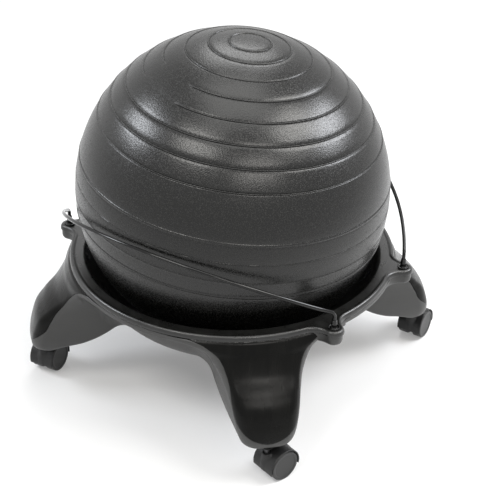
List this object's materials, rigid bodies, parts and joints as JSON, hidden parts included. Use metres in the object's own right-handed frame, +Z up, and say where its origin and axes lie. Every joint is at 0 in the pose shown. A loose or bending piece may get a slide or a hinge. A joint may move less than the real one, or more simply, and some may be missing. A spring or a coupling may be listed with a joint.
{
  "type": "balance ball chair",
  "caption": "Backless ball seat: an inflated ribbed ball in a moulded four-legged base on twin-wheel swivel casters, kept in by two bent steel rods.",
  "frame": {"origin": "on the floor, under the middle of the round base; the box is 3 to 4 mm off it towards the rear, because the casters trail that way", "axes": "+Z up; front towards -Y; +X to the right of someone facing +Y; the legs and casters lie on the four diagonals and the rods run along X at front and rear"},
  "size_m": [0.572, 0.5615, 0.6043],
  "materials": {
    "ball": "satin black soft PVC with a fine grain",
    "plug": "matte black",
    "shell": "satin black moulded plastic",
    "rod": "gloss black coating",
    "grommet": "matte black",
    "hood": "satin black nylon",
    "wheel": "satin dark grey nylon",
    "sleeve": "matte black nylon",
    "steel": "bright zinc plate"
  },
  "bodies": {
    "base": {"base_upper_shell": "shell", "base_lower_shell": "shell", "shell_screw_1": "steel", "shell_screw_2": "steel", "shell_screw_3": "steel", "shell_screw_4": "steel", "shell_screw_5": "steel", "shell_screw_6": "steel", "shell_screw_7": "steel", "shell_screw_8": "steel", "rod_grommet_front_right": "grommet", "rod_grommet_rear_right": "grommet", "rod_grommet_rear_left": "grommet", "rod_grommet_front_left": "grommet", "caster_sleeve_front_right": "sleeve", "caster_sleeve_rear_right": "sleeve", "caster_sleeve_rear_left": "sleeve", "caster_sleeve_front_left": "sleeve"},
    "ball": {"ball": "ball"},
    "valve_plug": {"valve_plug": "plug"},
    "front_rod": {"front_retaining_rod": "rod"},
    "rear_rod": {"rear_retaining_rod": "rod"},
    "caster_front_right": {"caster_stem_front_right": "steel", "caster_hood_front_right": "hood", "caster_axle_front_right": "steel"},
    "wheel_front_right_right": {"wheel_front_right_right": "wheel"},
    "wheel_front_right_left": {"wheel_front_right_left": "wheel"},
    "caster_rear_right": {"caster_stem_rear_right": "steel", "caster_hood_rear_right": "hood", "caster_axle_rear_right": "steel"},
    "wheel_rear_right_right": {"wheel_rear_right_right": "wheel"},
    "wheel_rear_right_left": {"wheel_rear_right_left": "wheel"},
    "caster_rear_left": {"caster_stem_rear_left": "steel", "caster_hood_rear_left": "hood", "caster_axle_rear_left": "steel"},
    "wheel_rear_left_right": {"wheel_rear_left_right": "wheel"},
    "wheel_rear_left_left": {"wheel_rear_left_left": "wheel"},
    "caster_front_left": {"caster_stem_front_left": "steel", "caster_hood_front_left": "hood", "caster_axle_front_left": "steel"},
    "wheel_front_left_right": {"wheel_front_left_right": "wheel"},
    "wheel_front_left_left": {"wheel_front_left_left": "wheel"}
  },
  "joints": [
    {"name": "ball_turn", "type": "hinge", "parent": "base", "child": "ball", "pos_m": [0, 0, 0.345], "axis": [0, 0, 1], "continuous": true},
    {"name": "valve_plug_pull", "type": "slide", "parent": "ball", "child": "valve_plug", "axis": [0.0313, 0.9533, 0.3003], "range_m": [0, 0.014]},
    {"name": "front_rod_lift", "type": "slide", "parent": "base", "child": "front_rod", "axis": [0, 0, 1], "range_m": [0, 0.03]},
    {"name": "rear_rod_lift", "type": "slide", "parent": "base", "child": "rear_rod", "axis": [0, 0, 1], "range_m": [0, 0.03]},
    {"name": "caster_front_right_swivel", "type": "hinge", "parent": "base", "child": "caster_front_right", "pos_m": [0.23476, -0.23476, 0.064], "axis": [0, 0, 1], "continuous": true},
    {"name": "wheel_front_right_right_roll", "type": "hinge", "parent": "caster_front_right", "child": "wheel_front_right_right", "pos_m": [0.24027, -0.21553, 0.0255], "axis": [0.9613, -0.2756, 0], "continuous": true},
    {"name": "wheel_front_right_left_roll", "type": "hinge", "parent": "caster_front_right", "child": "wheel_front_right_left", "pos_m": [0.24027, -0.21553, 0.0255], "axis": [0.9613, -0.2756, 0], "continuous": true},
    {"name": "caster_rear_right_swivel", "type": "hinge", "parent": "base", "child": "caster_rear_right", "pos_m": [0.23476, 0.23476, 0.064], "axis": [0, 0, 1], "continuous": true},
    {"name": "wheel_rear_right_right_roll", "type": "hinge", "parent": "caster_rear_right", "child": "wheel_rear_right_right", "pos_m": [0.23371, 0.25473, 0.0255], "axis": [0.9986, 0.0523, 0], "continuous": true},
    {"name": "wheel_rear_right_left_roll", "type": "hinge", "parent": "caster_rear_right", "child": "wheel_rear_right_left", "pos_m": [0.23371, 0.25473, 0.0255], "axis": [0.9986, 0.0523, 0], "continuous": true},
    {"name": "caster_rear_left_swivel", "type": "hinge", "parent": "base", "child": "caster_rear_left", "pos_m": [-0.23476, 0.23476, 0.064], "axis": [0, 0, 1], "continuous": true},
    {"name": "wheel_rear_left_right_roll", "type": "hinge", "parent": "caster_rear_left", "child": "wheel_rear_left_right", "pos_m": [-0.23267, 0.25465, 0.0255], "axis": [0.9945, -0.1045, 0], "continuous": true},
    {"name": "wheel_rear_left_left_roll", "type": "hinge", "parent": "caster_rear_left", "child": "wheel_rear_left_left", "pos_m": [-0.23267, 0.25465, 0.0255], "axis": [0.9945, -0.1045, 0], "continuous": true},
    {"name": "caster_front_left_swivel", "type": "hinge", "parent": "base", "child": "caster_front_left", "pos_m": [-0.23476, -0.23476, 0.064], "axis": [0, 0, 1], "continuous": true},
    {"name": "wheel_front_left_right_roll", "type": "hinge", "parent": "caster_front_left", "child": "wheel_front_left_right", "pos_m": [-0.23789, -0.21501, 0.0255], "axis": [0.9877, 0.1564, 0], "continuous": true},
    {"name": "wheel_front_left_left_roll", "type": "hinge", "parent": "caster_front_left", "child": "wheel_front_left_left", "pos_m": [-0.23789, -0.21501, 0.0255], "axis": [0.9877, 0.1564, 0], "continuous": true}
  ]
}
